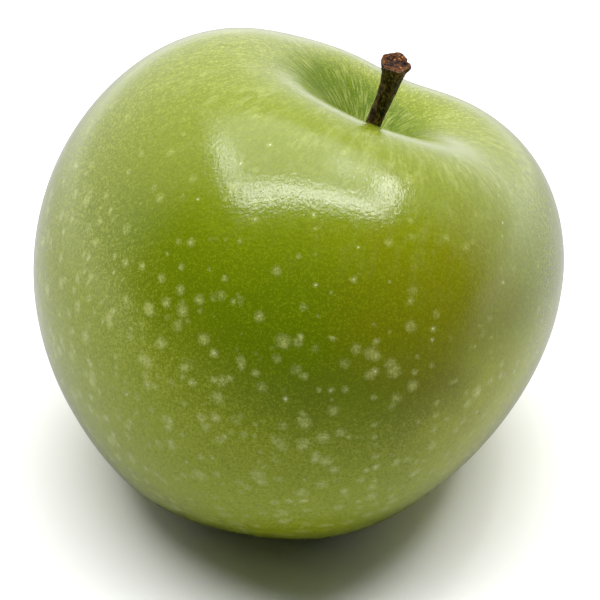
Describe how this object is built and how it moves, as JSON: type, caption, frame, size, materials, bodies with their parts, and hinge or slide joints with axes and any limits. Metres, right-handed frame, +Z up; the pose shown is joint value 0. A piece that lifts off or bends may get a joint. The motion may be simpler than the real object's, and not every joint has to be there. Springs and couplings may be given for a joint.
{
  "type": "green apple",
  "caption": "Whole green apple with a deep stalk cavity, a short woody stalk with a flared torn end, and a dried calyx underneath; it stands on its crown lobes.",
  "frame": {"origin": "middle of the whole part's bounding box, on the surface that it rests on", "axes": "+Z up, +X to the right and -Y towards the viewer in the pictured pose; the stalk leans towards +X"},
  "size_m": [0.0786, 0.081, 0.0687],
  "materials": {
    "skin": "waxy gloss, pale lenticel spots",
    "stalk": "rough dry bark with a torn scar",
    "calyx": "dry, woolly"
  },
  "bodies": {
    "root": {"fruit": "skin", "stem": "stalk", "calyx": "calyx"}
  },
  "joints": []
}
